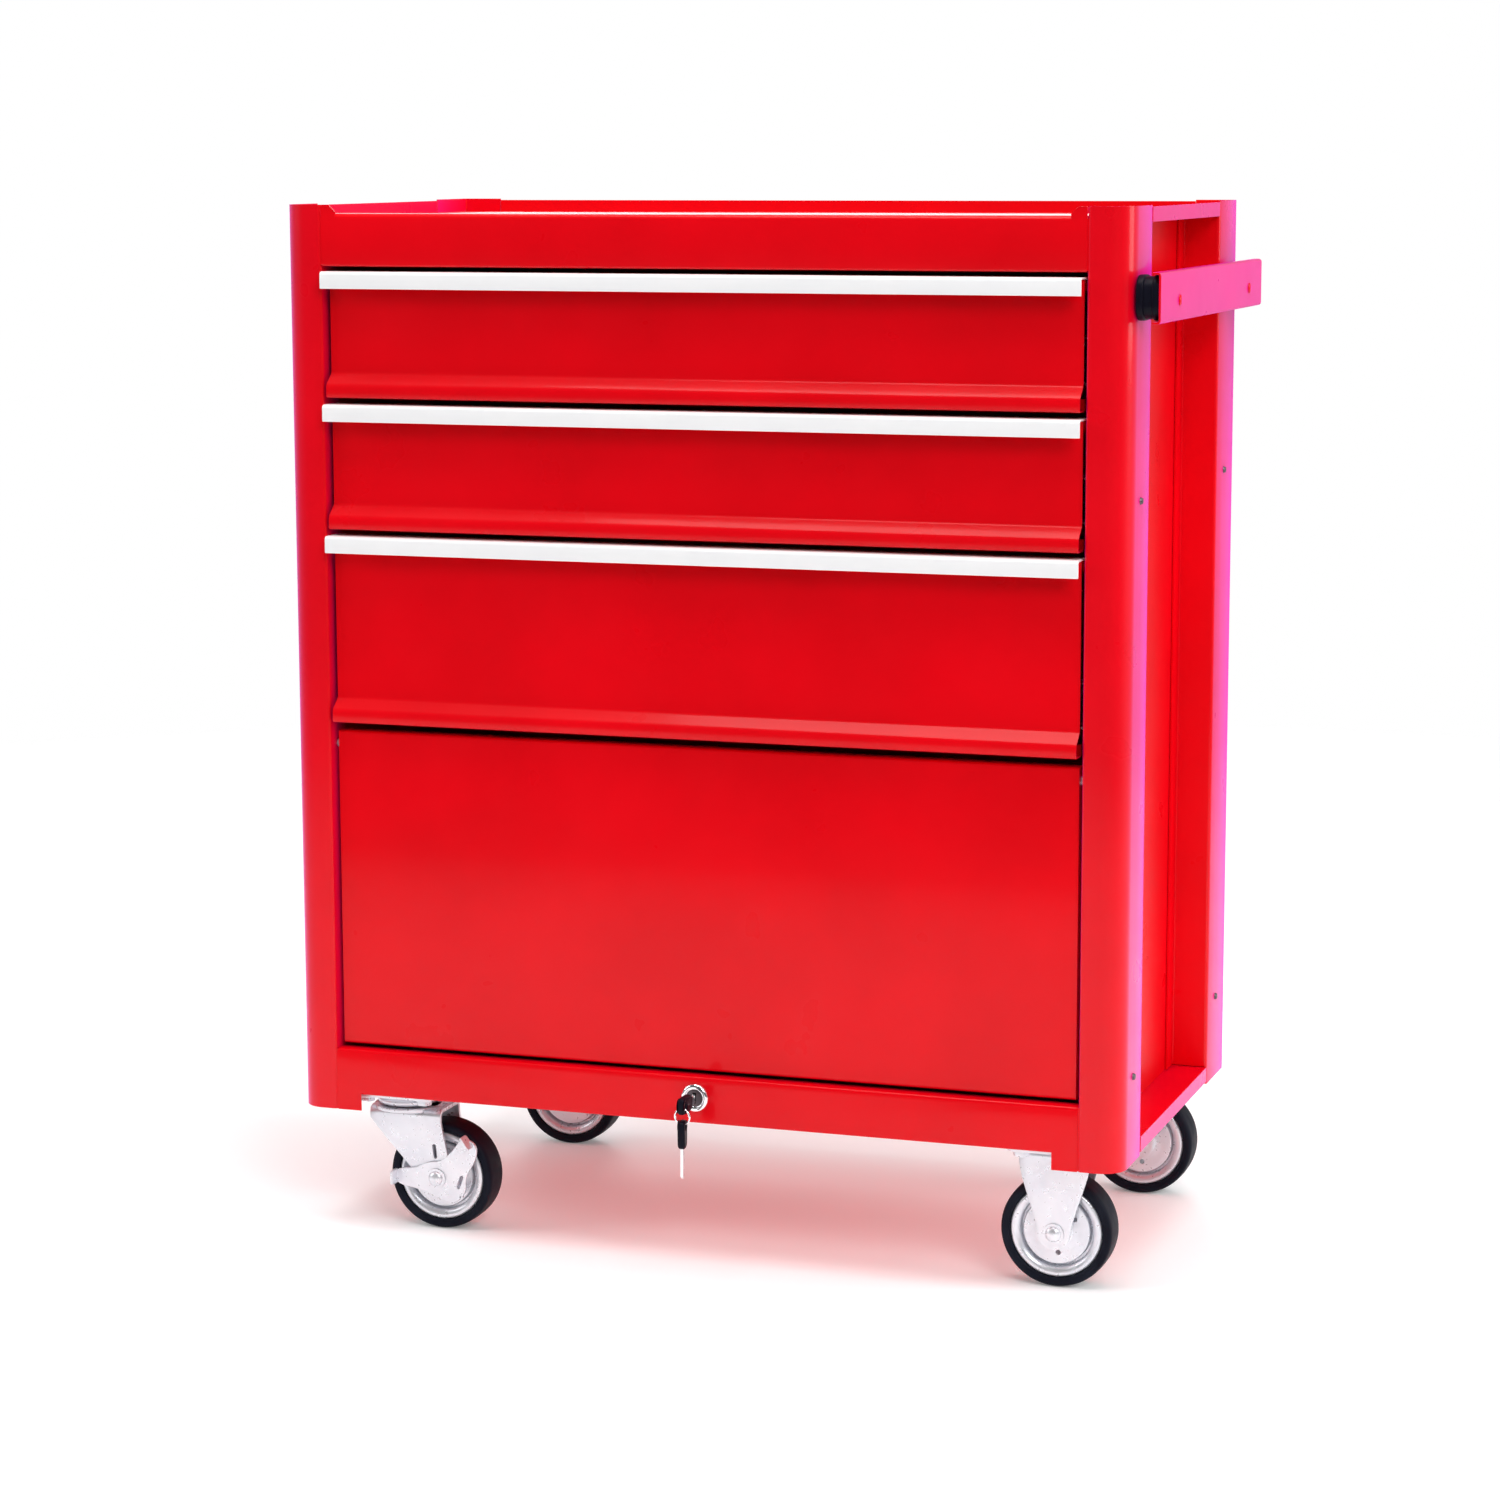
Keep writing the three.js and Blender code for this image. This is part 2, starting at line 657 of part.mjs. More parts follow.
function forkLegs(outline) {
  return [-1, 1].map((side) => {
    const [y0, y1] = side > 0 ? [LEG.inner, LEG.outer] : [-LEG.outer, -LEG.inner];
    return alongY(outline, y0, y1, 7);
  });
}

const FLOOR_TO_AXLE = WHEEL_RADIUS;
const plateOver = (half, top, thickness) => block(-half, half, -half, half, top - thickness, top);

function rigidFork() {
  const top = PLATE_TOP - FLOOR_TO_AXLE;
  const legs = forkLegs(legOutline(-25, 25, top - 0.5, 0, 11.5));
  const bore = rod(AXLE_RADIUS + FIT, -30, 30, 0, 0, 20);
  return cut(joined(plateOver(31, top, 2.8), ...legs), bore).translate([0, 0, FLOOR_TO_AXLE]);
}

function swivelPlate() {
  return joined(
    plateOver(31, PLATE_TOP, 2.8),
    rodAlongZ(23, PLATE_TOP - 11.5, PLATE_TOP - 2, 0, 0, 32),
    rodAlongZ(5.5, PLATE_TOP - 16, PLATE_TOP - 9, 0, 0, 16),
    rodAlongZ(9, PLATE_TOP - 18.6, PLATE_TOP - 15.2, 0, 0, 24),
  );
}

function swivelFork() {
  const crown = [
    rodAlongZ(CROWN.radius, CROWN.top - CROWN.thickness, CROWN.top, 0, 0, 32),
    block(-16, 32, -LEG.outer, LEG.outer, CROWN.top - CROWN.thickness, CROWN.top),
  ];
  const legs = forkLegs(legOutline(-15.8, 31.8, CROWN.top - FLOOR_TO_AXLE - 0.5, SWIVEL_OFFSET, 12.5));
  const bore = rod(AXLE_RADIUS + FIT, -30, 30, SWIVEL_OFFSET, FLOOR_TO_AXLE, 20);
  const kingpin = rodAlongZ(5.5 + FIT, CROWN.top - 6, CROWN.top + 3, 0, 0, 16);
  return cut(joined(...crown, ...legs.map((leg) => leg.translate(0, 0, FLOOR_TO_AXLE))), bore, kingpin);
}

// Two-armed foot brake on the axle, in front of the fork: one arm to the left, one up to the right.
const BRAKE = { back: -LEG.outer - FIT, thickness: 2 };

function brakeLever() {
  const plate = new THREE.Shape();
  plate.moveTo(-34, -4.5).lineTo(-10, -9).absarc(0, 0, 13, -2.2, 0.1);
  plate.lineTo(28, 24).lineTo(22, 31).lineTo(12, 22).lineTo(3, 12.5).lineTo(-34, 4.5);
  const front = BRAKE.back - BRAKE.thickness;
  const lever = joined(
    alongY(plate, front, BRAKE.back, 8),
    block(-36, -34, front - 9, BRAKE.back, -4.5, 4.5),
    block(-2, 0, front - 9, BRAKE.back, -5.4, 5.4).rotateY(Math.PI / 4 - Math.PI).translate(24.4, 0, 26.6),
  );
  return cut(lever, rod(AXLE_RADIUS + FIT, -40, 0, 0, 0, 20));
}

function buildWheel(name, x, y, frontHead, turn = 0) {
  const wheel = new THREE.Group();
  add(`${name}_tyre`, tyre(), RUBBER, wheel);
  add(`${name}_disc`, wheelDisc(), ZINC, wheel);
  add(`${name}_axle`, axle(frontHead), ZINC, wheel);
  wheel.position.set(x, y, FLOOR_TO_AXLE);
  wheel.rotation.z = turn;
  return wheel;
}

function buildCastors() {
  for (const [word, y] of [
    ["front", CASTOR_Y],
    ["rear", DEPTH - CASTOR_Y],
  ]) {
    const rigid = new THREE.Group();
    add(`${word}_rigid_fork`, rigidFork(), ZINC, rigid);
    rigid.add(buildWheel(`${word}_right`, 0, 0, LEG.outer + FIT));
    rigid.position.set(RIGID_X, y, 0);

    const swivel = new THREE.Group();
    add(`${word}_swivel_plate`, swivelPlate(), ZINC, swivel);
    add(`${word}_swivel_fork`, swivelFork(), ZINC, swivel);
    const brake = add(`${word}_brake_lever`, brakeLever(), ZINC, swivel);
    brake.position.set(SWIVEL_OFFSET, 0, FLOOR_TO_AXLE);
    swivel.add(buildWheel(`${word}_left`, SWIVEL_OFFSET, 0, -BRAKE.back + BRAKE.thickness + FIT));
    swivel.position.set(KINGPIN_X, y, 0);
    root.add(rigid, swivel);
  }
}

buildCabinet();
buildHandle();
DRAWERS.forEach(buildDrawer);
buildDoor();
buildLock();
buildCastors();

// The origin: bottom centre of the whole cabinet's box.
const box = new THREE.Box3().setFromObject(root, true);
root.position.set(-(box.min.x + box.max.x) / 2, -(box.min.y + box.max.y) / 2, -box.min.z);
root.updateMatrixWorld(true);

export default root;
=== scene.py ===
"""Rolling tool cabinet: its looks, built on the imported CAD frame. Metres, +Z up, the front faces -Y."""
from math import cos, pi, radians, sin

import bmesh
import bpy
from mathutils import Matrix, Vector


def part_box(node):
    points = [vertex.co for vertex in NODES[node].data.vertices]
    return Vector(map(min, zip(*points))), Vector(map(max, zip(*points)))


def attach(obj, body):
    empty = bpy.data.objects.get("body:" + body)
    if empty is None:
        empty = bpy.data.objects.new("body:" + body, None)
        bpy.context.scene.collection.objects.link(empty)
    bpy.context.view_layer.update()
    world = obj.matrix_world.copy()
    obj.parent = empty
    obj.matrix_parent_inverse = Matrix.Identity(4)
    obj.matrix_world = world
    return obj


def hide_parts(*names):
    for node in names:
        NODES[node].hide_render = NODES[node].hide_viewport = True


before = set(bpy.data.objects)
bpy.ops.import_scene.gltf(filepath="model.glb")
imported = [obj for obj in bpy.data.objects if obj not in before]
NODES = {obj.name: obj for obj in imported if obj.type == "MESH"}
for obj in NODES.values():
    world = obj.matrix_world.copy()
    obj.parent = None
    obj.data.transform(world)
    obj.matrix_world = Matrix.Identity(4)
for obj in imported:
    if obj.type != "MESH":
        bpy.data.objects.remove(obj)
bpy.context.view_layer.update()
ENDS = ("front", "rear")
SIDES = ("left", "right")
MM = 0.001

# ---------- Camera and floor ----------
CAMERA_PLACE = (0.8822, -2.6172, 0.7826)
CAMERA_YAW, CAMERA_PITCH, CAMERA_ROLL = 0.3318, -0.1562, -0.0028
SENSOR, LENS = 36, 91.53
FLOOR_RADIUS = 2.6
FADE_START, FADE_END = 0.26 * FLOOR_RADIUS, 0.97 * FLOOR_RADIUS

# ---------- Paint ----------
RED = (0.78, 0.0, 0.0055, 1)
DEEP_RED = (0.70, 0.0, 0.0045, 1)
# the pink of the paint's sheen is a painted reflection of light at low angles
REFLECTION_PINK = (1, 0.04, 0.8, 1)
PAINT_SPECULAR, DULL_SPECULAR = 0.14, 0.1
SHEEN_ROUGHNESS = 0.34
WAVE_DEPTH, PEEL_DEPTH = 1.2 * MM, 0.005 * MM  # unevenness of the sheet, orange peel of the paint


# ---------- Materials ----------
def add_node(tree, kind, **settings):
    made = tree.nodes.new(kind)
    for name, value in settings.items():
        setattr(made, name, value)
    return made


def new_material(name, **inputs):
    """A Principled material; inputs are given as Base_Color=..., Roughness=... and so on."""
    material = bpy.data.materials.new(name)
    material.use_nodes = True
    shader = material.node_tree.nodes["Principled BSDF"]
    for key, value in inputs.items():
        shader.inputs[key.replace("_", " ")].default_value = value
    return material, material.node_tree, shader


def noise(tree, scale, detail, stretch=(1, 1, 1)):
    """Noise in the object's own metres; scale is in cells per metre."""
    place = add_node(tree, "ShaderNodeTexCoord")
    mapping = add_node(tree, "ShaderNodeMapping")
    mapping.inputs["Scale"].default_value = stretch
    tree.links.new(place.outputs["Object"], mapping.inputs["Vector"])
    texture = add_node(tree, "ShaderNodeTexNoise")
    texture.inputs["Scale"].default_value = scale
    texture.inputs["Detail"].default_value = detail
    tree.links.new(mapping.outputs["Vector"], texture.inputs["Vector"])
    return texture.outputs["Fac"]


def spread(tree, value, low, high, start=0.3, end=0.7):
    """Maps a noise value to a range."""
    node = add_node(tree, "ShaderNodeMapRange")
    for key, number in (("From Min", start), ("From Max", end), ("To Min", low), ("To Max", high)):
        node.inputs[key].default_value = number
    tree.links.new(value, node.inputs["Value"])
    return node.outputs["Result"]


def blend_colours(tree, value, first, second):
    node = add_node(tree, "ShaderNodeMix", data_type="RGBA")
    node.inputs[6].default_value = first
    node.inputs[7].default_value = second
    tree.links.new(value, node.inputs[0])
    return node.outputs[2]


def add_bump(tree, shader, layers):
    """layers: pairs of height value and depth in metres, added on top of each other."""
    normal = None
    for height, depth in layers:
        bump = add_node(tree, "ShaderNodeBump")
        bump.inputs["Strength"].default_value = 1
        bump.inputs["Distance"].default_value = depth
        tree.links.new(height, bump.inputs["Height"])
        if normal:
            tree.links.new(normal, bump.inputs["Normal"])
        normal = bump.outputs["Normal"]
    tree.links.new(normal, shader.inputs["Normal"])


def paint(name, gloss, sheen):
    """Baked powder coat: a fine orange peel over slightly uneven sheet, and a pink sheen at low angles that
    is a painted reflection of light.
    """
    material, tree, shader = new_material(name, Coat_Weight=gloss, Coat_Roughness=0.08, IOR=1.45)
    shader.inputs["Specular IOR Level"].default_value = PAINT_SPECULAR
    shader.inputs["Sheen Weight"].default_value = sheen
    shader.inputs["Sheen Roughness"].default_value = SHEEN_ROUGHNESS
    # the pink sheen tint is a painted reflection
    shader.inputs["Sheen Tint"].default_value = REFLECTION_PINK
    tone = spread(tree, noise(tree, 9, 3), 0, 1, 0.35, 0.65)
    tree.links.new(blend_colours(tree, tone, RED, DEEP_RED), shader.inputs["Base Color"])
    tree.links.new(spread(tree, noise(tree, 24, 3), 0.27, 0.33), shader.inputs["Roughness"])
    add_bump(tree, shader, [(noise(tree, 2.6, 1), WAVE_DEPTH), (noise(tree, 300, 0), PEEL_DEPTH)])
    return material


def metal(name, first, second, rough, grain, stretch=(1, 1, 1), depth=0.002 * MM, metallic=1.0):
    """Bare or plated metal: uneven sheen in patches, and a fine grain that may be stretched one way."""
    material, tree, shader = new_material(name, Metallic=metallic)
    tone = spread(tree, noise(tree, 30, 3), 0, 1)
    tree.links.new(blend_colours(tree, tone, first, second), shader.inputs["Base Color"])
    lines = noise(tree, grain, 2, stretch)
    tree.links.new(spread(tree, lines, *rough), shader.inputs["Roughness"])
    add_bump(tree, shader, [(lines, depth)])
    return material


def dull(name, first, second, rough, grain, depth):
    """Rubber or moulded plastic: two close shades, a fine grain."""
    material, tree, shader = new_material(name)
    shader.inputs["Specular IOR Level"].default_value = DULL_SPECULAR
    tone = spread(tree, noise(tree, 60, 3), 0, 1)
    tree.links.new(blend_colours(tree, tone, first, second), shader.inputs["Base Color"])
    tree.links.new(spread(tree, noise(tree, 120, 4), *rough), shader.inputs["Roughness"])
    add_bump(tree, shader, [(noise(tree, grain, 3), depth)])
    return material


# Three copies of one red paint that differ in gloss and painted pink reflection: a little on the plain
# paint, a strong one, and none with no coat
PAINT = paint("red_powder_coat", 0.2, 0.04)
PINK_REFLECTION_PAINT = paint("red_powder_coat_painted_pink_reflection", 0.35, 1.0)
NO_REFLECTION_PAINT = paint("red_powder_coat_without_reflection", 0.0, 0.0)
ALUMINIUM = metal(
    "polished_aluminium",
    (0.98, 0.98, 0.985, 1),
    (0.95, 0.955, 0.965, 1),
    (0.3, 0.4),
    700,
    (0.02, 1, 1),
    metallic=0.12,
)
ZINC = metal("zinc_plate", (0.82, 0.83, 0.87, 1), (0.72, 0.74, 0.8, 1), (0.26, 0.36), 260, metallic=0.6)
STEEL = metal("bright_steel", (0.9, 0.9, 0.92, 1), (0.8, 0.81, 0.84, 1), (0.12, 0.26), 1400, (1, 1, 0.04))
CHROME = metal("chrome", (0.92, 0.93, 0.95, 1), (0.86, 0.88, 0.91, 1), (0.05, 0.1), 300, depth=0.004 * MM)
# dark steel for the screw heads; on the lock plug the same dark colour is painted shade
DARK_STEEL_AND_SHADE = metal("dark_steel_and_painted_shade", (0.16, 0.13, 0.14, 1), (0.09, 0.08, 0.09, 1), (0.35, 0.5), 700)
RUBBER = dull(
    "black_rubber",
    (0.004, 0.0045, 0.011, 1),
    (0.009, 0.011, 0.02, 1),
    (0.46, 0.6),
    1200,
    0.02 * MM,
)
PLASTIC = dull(
    "black_plastic",
    (0.003, 0.003, 0.008, 1),
    (0.006, 0.006, 0.013, 1),
    (0.34, 0.46),
    1800,
    0.01 * MM,
)


# ---------- Outlines ----------
def arc(x, y, radius, start, end, count=12):
    """Points on an arc about (x, y), from one angle to another, in radians."""
    steps = [start + (end - start) * i / count for i in range(count + 1)]
    return [(x + radius * cos(a), y + radius * sin(a)) for a in steps]


def circle(x, y, radius, count=32):
    """A closed outline, its last point not repeated."""
    return arc(x, y, radius, 0, 2 * pi, count)[:-1]


def rounded_box(half_x, half_y, radius):
    points = []
    for sx, sy, turn in ((1, 1, 0), (-1, 1, 0.5), (-1, -1, 1), (1, -1, 1.5)):
        x, y = sx * (half_x - radius), sy * (half_y - radius)
        points += arc(x, y, radius, turn * pi, (turn + 0.5) * pi, 6)
    return points


def slot_loop(x, y, length, width, tilt=0.0):
    """A long hole with round ends, its length along Y and turned by tilt."""
    half = (length - width) / 2
    loop = arc(0, half, width / 2, 0, pi, 8) + arc(0, -half, width / 2, pi, 2 * pi, 8)
    return [(x + a * cos(tilt) - b * sin(tilt), y + a * sin(tilt) + b * cos(tilt)) for a, b in loop]


def softened(points, rounds):
    """Cuts the corners of a closed outline so that they become round."""
    for _ in range(rounds):
        cut = []
        for (ax, ay), (bx, by) in zip(points, points[1:] + points[:1]):
            cut.append((0.75 * ax + 0.25 * bx, 0.75 * ay + 0.25 * by))
            cut.append((0.25 * ax + 0.75 * bx, 0.25 * ay + 0.75 * by))
        points = cut
    return points


def scaled(points):
    """Points given in millimetres, in metres."""
    return [(a * MM, b * MM) for a, b in points]


# ---------- Meshes ----------
THIN = 0.01 * MM  # the radius at which a turned profile ends on its axis


def evaluated_mesh(obj):
    """The object's mesh with its modifiers applied; the object itself is removed."""
    bpy.context.view_layer.update()
    mesh = bpy.data.meshes.new_from_object(obj.evaluated_get(bpy.context.evaluated_depsgraph_get()))
    bpy.data.objects.remove(obj)
    return mesh


def scratch_object(data):
    obj = bpy.data.objects.new("scratch", data)
    bpy.context.scene.collection.objects.link(obj)
    return obj


def plate(outline, thickness, holes=(), edge=0.3 * MM, steps=2):
    """A flat plate in the XY plane, centred on it, with rounded edges and holes right through."""
    curve = bpy.data.curves.new("plate", "CURVE")
    curve.dimensions = "2D"
    curve.fill_mode = "BOTH"
    curve.extrude = thickness / 2 - edge
    curve.bevel_depth = edge
    curve.bevel_resolution = steps
    curve.offset = -edge
    for loop in (outline, *holes):
        spline = curve.splines.new("POLY")
        spline.points.add(len(loop) - 1)
        for point, (x, y) in zip(spline.points, loop):
            point.co = (x, y, 0, 1)
        spline.use_cyclic_u = True
    return evaluated_mesh(scratch_object(curve))


def revolved(profile, segments=64):
    """A closed ring or disc about the Y axis, from a closed outline of (radius, y) points."""
    verts = []
    for i in range(segments):
        a = 2 * pi * i / segments
        verts += [(r * cos(a), y, r * sin(a)) for r, y in profile]
    count = len(profile)
    faces = []
    for i in range(segments):
        for j in range(count):
            k, n = (i + 1) % segments, (j + 1) % count
            faces.append((i * count + j, i * count + n, k * count + n, k * count + j))
    mesh = bpy.data.meshes.new("revolved")
    mesh.from_pydata(verts, [], faces)
    return outward(mesh)


def outward(mesh):
    """Turns every face of a closed mesh outwards and joins points that coincide."""
    work = bmesh.new()
    work.from_mesh(mesh)
    bmesh.ops.remove_doubles(work, verts=work.verts, dist=1e-7)
    bmesh.ops.recalc_face_normals(work, faces=work.faces)
    work.to_mesh(mesh)
    work.free()
    return mesh


def joined(*meshes):
    """One mesh made of several."""
    work = bmesh.new()
    for mesh in meshes:
        work.from_mesh(mesh)
    whole = bpy.data.meshes.new("joined")
    work.to_mesh(whole)
    work.free()
    return whole


def placed(mesh, matrix):
    copy = mesh.copy()
    copy.transform(matrix)
    return copy


def drilled(mesh, cutters):
    """Takes the cutter meshes away from a closed mesh."""
    obj = scratch_object(mesh)
    tools = [scratch_object(cutter) for cutter in cutters]
    for tool in tools:
        modifier = obj.modifiers.new("cut", "BOOLEAN")
        modifier.object = tool
        modifier.operation = "DIFFERENCE"
    result = evaluated_mesh(obj)
    for tool in tools:
        bpy.data.objects.remove(tool)
    return result


def soft_edges(mesh, width, segments, angle):
    """Rounds the mesh's edges that are sharper than the angle, in degrees."""
    obj = scratch_object(mesh)
    add_bevel(obj, width, segments, angle)
    return evaluated_mesh(obj)


def add_bevel(obj, width, segments, angle):
    modifier = obj.modifiers.new("soft_edges", "BEVEL")
    modifier.width = width
    modifier.segments = segments
    modifier.limit_method = "ANGLE"
    modifier.angle_limit = radians(angle)
    modifier.harden_normals = True


def shade(mesh, angle=40):
    """Smooth shading, with edges sharper than the angle left crisp."""
    mesh.polygons.foreach_set("use_smooth", [True] * len(mesh.polygons))
    mesh.set_sharp_from_angle(angle=radians(angle))


# Turns a mesh made in the XY plane so that its Y becomes Z and its thickness lies along Y.
UPRIGHT = Matrix(((1, 0, 0, 0), (0, 0, -1, 0), (0, 1, 0, 0), (0, 0, 0, 1)))
# Turns a mesh made in the XY plane so that its X becomes Y, its Y becomes Z and its thickness lies along X.
SIDEWAYS = Matrix(((0, 0, 1, 0), (1, 0, 0, 0), (0, 1, 0, 0), (0, 0, 0, 1)))
ALONG_X = Matrix.Rotation(-pi / 2, 4, "Z")  # the Y axis of a revolved mesh turned to +X
ALONG_Z = Matrix.Rotation(pi / 2, 4, "X")  # the Y axis of a revolved mesh turned to +Z


def move(x, y, z):
    return Matrix.Translation((x, y, z))


def add_piece(name, mesh, material, body, replaces=(), angle=40):
    """Puts a mesh in the scene as one piece of the object, riding on a body of the CAD."""
    shade(mesh, angle)
    mesh.materials.clear()
    mesh.materials.append(material)
    obj = bpy.data.objects.new(name, mesh)
    bpy.context.scene.collection.objects.link(obj)
    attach(obj, body)
    if replaces:
        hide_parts(*replaces)


def add_painted(name, mesh, material=PAINT, replaces=()):
    """A fixed piece of the red cabinet."""
    add_piece(name, mesh, material, "cabinet", replaces)


# ---------- Places taken from the frame ----------
def centre(node):
    low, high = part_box(node)
    return (low + high) / 2


POST_LOW, POST_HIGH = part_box("front_post_right")
LEFT_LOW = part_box("front_post_left")[0]
REAR_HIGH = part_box("rear_post_right")[1]
SCREW_PROUD = 1.6 * MM  # screw heads on the posts' side faces
BODY_LEFT, BODY_RIGHT = LEFT_LOW.x + SCREW_PROUD, POST_HIGH.x - SCREW_PROUD
MIDDLE_X, HALF_WIDTH = (BODY_LEFT + BODY_RIGHT) / 2, (BODY_RIGHT - BODY_LEFT) / 2
JAMB = 30 * MM  # the depth of the folds at the front and rear openings
SKIN = 1.3 * MM  # faces this close to a side face belong to it
RECESS = 5 * MM  # faces this far inside a side face belong to the recess
CLEAR = 0.1 * MM  # faces this far outside a side face belong to a screw
FRONT_Y, BACK_Y = POST_LOW.y, REAR_HIGH.y
BACK_RIVETS, RIVET_MARGIN, RIVET_INSET = 6, 40 * MM, 15 * MM
BODY_BOTTOM = POST_LOW.z
APRON_HIGH = BODY_BOTTOM + 45 * MM
HOOD_HIGH, HOOD_DEPTH = POST_HIGH.z - 8 * MM, 34 * MM
PANEL_GAP = 0.5 * MM  # between the pan and the panels that stand on it


# ---------- CAD nodes that stay ----------
WELD_REACH = 0.01 * MM
FLAT_ANGLE = 0.8  # in degrees: faces that meet at less are joined
EDGE_ANGLE = 32  # in degrees: faces that meet at more have an edge between them


def dress(node, material, width=0.35 * MM, segments=2):
    """Gives a CAD node its material, joins its flat triangles, rounds its edges and smooths its bends."""
    obj = NODES[node]
    mesh = obj.data
    mesh.materials.clear()
    mesh.materials.append(material)
    for name in ("custom_normal", "sharp_face", "sharp_edge"):
        if name in mesh.attributes:
            mesh.attributes.remove(mesh.attributes[name])
    mesh.polygons.foreach_set("use_smooth", [True] * len(mesh.polygons))
    weld = obj.modifiers.new("weld", "WELD")
    weld.merge_threshold = WELD_REACH
    flat = obj.modifiers.new("flat_faces", "DECIMATE")
    flat.decimate_type = "DISSOLVE"
    flat.angle_limit = radians(FLAT_ANGLE)
    add_bevel(obj, width, segments, EDGE_ANGLE)


def outside(at, margin):
    """Whether a place is further out than the side faces by more than the margin, which may be negative."""
    return abs(at.x - MIDDLE_X) > HALF_WIDTH + margin


def set_face_material(node, material, chosen):
    """Gives the chosen faces of a CAD node another material: here a copy of the paint with more or less
    painted reflection, or dark steel.
    """
    mesh = NODES[node].data
    mesh.materials.append(material)
    for face in mesh.polygons:
        if chosen(face.center):
            face.material_index = len(mesh.materials) - 1


def on_side_face(at):
    return outside(at, -SKIN)


def on_screw(at):
    return outside(at, CLEAR)


def in_side_recess(at):
    return not outside(at, -RECESS) and FRONT_Y + JAMB < at.y < BACK_Y - JAMB


def dress_cabinet():
    """The sheet metal, pulls, slides and lock plug keep their CAD shapes."""
    for side in SIDES:
        for post in ENDS:
            # the posts carry the painted pink reflection, their tabs in the side recess have none, and their
            # screw heads are dark steel
            dress(f"{post}_post_{side}", PINK_REFLECTION_PAINT)
            set_face_material(f"{post}_post_{side}", NO_REFLECTION_PAINT, in_side_recess)
            set_face_material(f"{post}_post_{side}", DARK_STEEL_AND_SHADE, on_screw)
        # the side panels take the paint copy without gloss or painted reflection
        dress(f"side_panel_{side}", NO_REFLECTION_PAINT, 0.2 * MM)
        dress(f"door_pin_{side}", ZINC, 0.3 * MM)
    # the handle bar carries the painted pink reflection
    dress("handle_bar", PINK_REFLECTION_PAINT)
    dress("door_panel", PAINT)
    for node in ("base_pan", "top_cover"):
        dress(node, PAINT)
        # the side faces of the pan and the cover carry the painted pink reflection
        set_face_material(node, PINK_REFLECTION_PAINT, on_side_face)
    # the back panel takes the paint copy without gloss or painted reflection
    dress("back_panel", NO_REFLECTION_PAINT, 0.2 * MM)
    for number in (1, 2, 3):
        dress(f"drawer_{number}_body", PAINT)
        dress(f"drawer_{number}_trim", ALUMINIUM, 0.4 * MM, 3)
        for side in SIDES:
            dress(f"drawer_{number}_rail_{side}", ZINC, 0.2 * MM)
            dress(f"drawer_{number}_slide_{side}", ZINC, 0.2 * MM)
    # the lock plug is dark as painted shade: it stands for the shadow of the key in it
    dress("lock_plug", DARK_STEEL_AND_SHADE, 0.2 * MM)


# ---------- Screws and rivets ----------
def screw_mesh(radius, height):
    """A low domed head along +Y, its foot just under y = 0."""
    r, h = radius, height
    foot = -0.2 * MM
    profile = [(THIN, foot), (r, foot), (r, 0.15 * h), (0.93 * r, 0.45 * h)]
    profile += [(0.72 * r, 0.78 * h), (0.4 * r, 0.95 * h), (THIN, h)]
    return revolved(profile, 32)


def add_fixings():
    """Domed rivets in the handle and along the back panel."""
    for end in ENDS:
        node = f"handle_rivet_{end}"
        low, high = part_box(node)
        middle, size = (low + high) / 2, high - low
        dome = screw_mesh(size.y / 2, size.x)
        turn = move(low.x, middle.y, middle.z) @ ALONG_X
        # the handle's rivet heads carry the painted pink reflection like the bar
        add_painted(f"{node}_head", placed(dome, turn), PINK_REFLECTION_PAINT, [node])
    small = screw_mesh(2.4 * MM, 0.9 * MM)
    step = (POST_HIGH.z - BODY_BOTTOM - 2 * RIVET_MARGIN) / (BACK_RIVETS - 1)
    for row in range(BACK_RIVETS):
        z = BODY_BOTTOM + RIVET_MARGIN + step * row
        for side, x in zip(SIDES, (BODY_LEFT + RIVET_INSET, BODY_RIGHT - RIVET_INSET)):
            add_painted(f"back_rivet_{side}_{row + 1}", placed(small, move(x, BACK_Y, z)))


def add_seams():
    """A strip set just behind closes each butt joint between a front post and the sheets beside it."""
    points = [v.co for v in NODES["base_pan"].data.vertices]
    reach = max(at.x for at in points if at.y < FRONT_Y + 1 * MM and at.z < APRON_HIGH) - MIDDLE_X
    joints = (("base", BODY_BOTTOM + 0.5 * MM, APRON_HIGH), ("hood", HOOD_HIGH - HOOD_DEPTH, HOOD_HIGH))
    for side, sign in zip(SIDES, (-1, 1)):
        for word, low, high in joints:
            strip = plate(rounded_box(1.1 * MM, (high - low) / 2, 0.4 * MM), 0.5 * MM, edge=0.1 * MM)
            x = MIDDLE_X + sign * (reach + 0.15 * MM)
            spot = move(x, FRONT_Y + 0.75 * MM, (low + high) / 2)
            add_painted(f"{word}_seam_{side}", placed(strip, spot @ UPRIGHT))


def add_beads():
    """A bead of paint closes the joint between the pan and the foot of each panel that stands on it."""
    for node in ("side_panel_left", "side_panel_right", "back_panel"):
        low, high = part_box(node)
        middle, half = (low + high) / 2, (high - low) / 2
        bead = plate(rounded_box(half.x, half.y, 0.3 * MM), PANEL_GAP - 0.06 * MM, edge=0.1 * MM)
        spot = move(middle.x, middle.y, low.z - PANEL_GAP / 2)
        add_painted(f"{node}_bead", placed(bead, spot))


# ---------- Handle spacers ----------
SPACER_FLANGE, SPACER_WAIST = 5.2 * MM, 1 * MM


